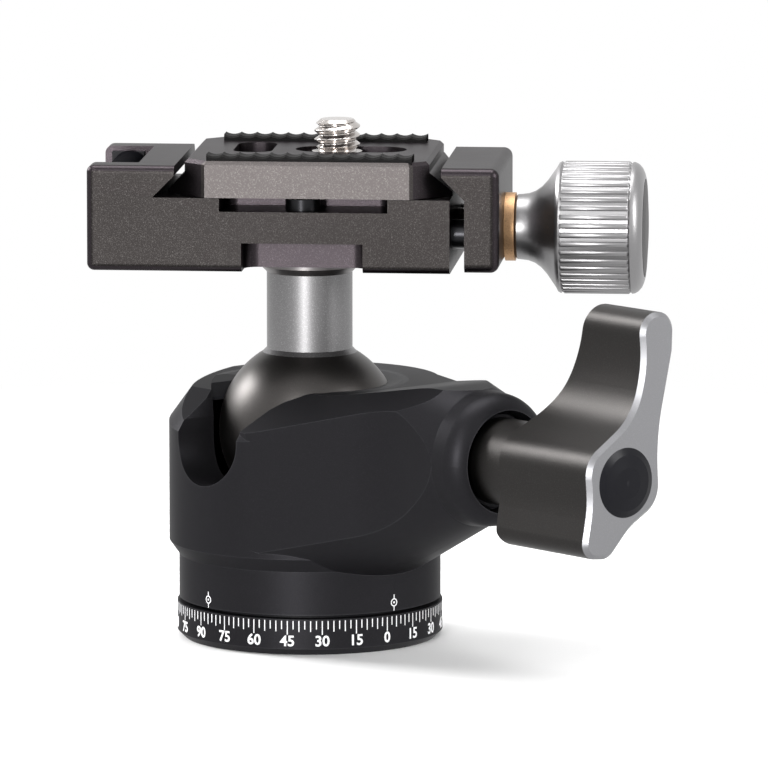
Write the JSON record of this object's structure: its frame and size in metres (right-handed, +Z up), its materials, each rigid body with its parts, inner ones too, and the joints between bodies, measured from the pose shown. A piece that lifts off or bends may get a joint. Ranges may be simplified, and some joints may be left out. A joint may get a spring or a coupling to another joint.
{
  "type": "tripod ball head",
  "caption": "Tripod ball head with a panning base, ball and neck in a housing with a locking lever, and a screw clamp holding a camera plate.",
  "frame": {"origin": "centre of the tripod thread at the base's lower face", "axes": "+Z up through the camera screw, +X along the clamp towards its knob, -Y to the pictured front"},
  "size_m": [0.0815, 0.0696, 0.0715],
  "materials": {
    "black_anodised": "matte anodised",
    "dark_anodised": "satin anodised",
    "silver": "satin machined",
    "steel": "machined",
    "bronze": "turned",
    "nylon": "matte",
    "white_nylon": "matte",
    "rubber": "moulded",
    "gloss_cap": "gloss",
    "tinted": "clear tinted"
  },
  "bodies": {
    "base": {"base_disc": "black_anodised", "thread_insert": "steel", "pan_slide_ring": "nylon", "pan_retainer": "steel", "pan_screw_1": "steel", "pan_screw_2": "steel", "pan_screw_3": "steel"},
    "housing": {"housing": "black_anodised", "ball_collar": "nylon", "lock_bush": "bronze"},
    "plunger": {"lock_plunger": "white_nylon"},
    "lever": {"lock_spindle": "steel", "lever_washer": "nylon", "lever": "dark_anodised", "lever_screw": "steel", "lever_cap": "gloss_cap"},
    "lower_seat": {"ball_seat": "white_nylon", "seat_spring": "steel"},
    "ball": {"ball": "dark_anodised"},
    "head": {"neck": "silver", "stem_screw": "steel", "clamp_body": "dark_anodised", "level_tube": "tinted", "level_holder_front": "nylon", "level_holder_back": "nylon", "stop_screw_front": "steel", "stop_screw_back": "steel"},
    "moving_jaw": {"moving_jaw": "dark_anodised", "guide_pin_front": "steel", "guide_pin_back": "steel"},
    "knob": {"clamp_spindle": "steel", "knob_washer": "bronze", "clamp_knob": "silver", "knob_cap": "gloss_cap"},
    "plate": {"plate": "dark_anodised", "plate_pad_front": "rubber", "plate_pad_back": "rubber"},
    "screw_clip": {"screw_clip": "steel"},
    "camera_screw": {"camera_screw": "steel"}
  },
  "joints": [
    {"name": "pan", "type": "hinge", "parent": "base", "child": "housing", "pos_m": [0, 0, 0], "axis": [0, 0, 1], "continuous": true},
    {"name": "plunger_slide", "type": "slide", "parent": "housing", "child": "plunger", "axis": [0.7145, -0.6997, 0], "range_m": [0, 0.00075]},
    {"name": "lever_turn", "type": "hinge", "parent": "plunger", "child": "lever", "pos_m": [0, 0, 0.02874], "axis": [0.7145, -0.6997, 0], "range_deg": [0, 270]},
    {"name": "ball_azimuth", "type": "hinge", "parent": "housing", "child": "lower_seat", "pos_m": [0, 0, 0.02874], "axis": [0, 0, 1], "range_deg": [-180, 0]},
    {"name": "ball_tilt", "type": "hinge", "parent": "lower_seat", "child": "ball", "pos_m": [0, 0, 0.02874], "axis": [0.7145, -0.6997, 0], "range_deg": [-28, 90]},
    {"name": "ball_swivel", "type": "hinge", "parent": "ball", "child": "head", "pos_m": [0, 0, 0.02874], "axis": [0, 0, 1], "continuous": true},
    {"name": "jaw_slide", "type": "slide", "parent": "head", "child": "moving_jaw", "axis": [1, 0, 0], "range_m": [-0.001, 0.0025]},
    {"name": "knob_turn", "type": "hinge", "parent": "moving_jaw", "child": "knob", "pos_m": [0, 0, 0.057], "axis": [1, 0, 0], "range_deg": [-360, 900]},
    {"name": "plate_slide", "type": "slide", "parent": "head", "child": "plate", "axis": [0, 1, 0], "range_m": [-0.003, 0.003]},
    {"name": "screw_slide", "type": "slide", "parent": "plate", "child": "screw_clip", "axis": [1, 0, 0], "range_m": [-0.002, 0.006]},
    {"name": "screw_turn", "type": "hinge", "parent": "screw_clip", "child": "camera_screw", "pos_m": [0.0037, 0.0012, 0.065], "axis": [0, 0, 1], "continuous": true}
  ],
  "couplings": [
    {"joint": "lever_turn", "follows": "plunger_slide", "rad_per_m": 6283.2},
    {"joint": "knob_turn", "follows": "jaw_slide", "rad_per_m": 6283.2}
  ]
}
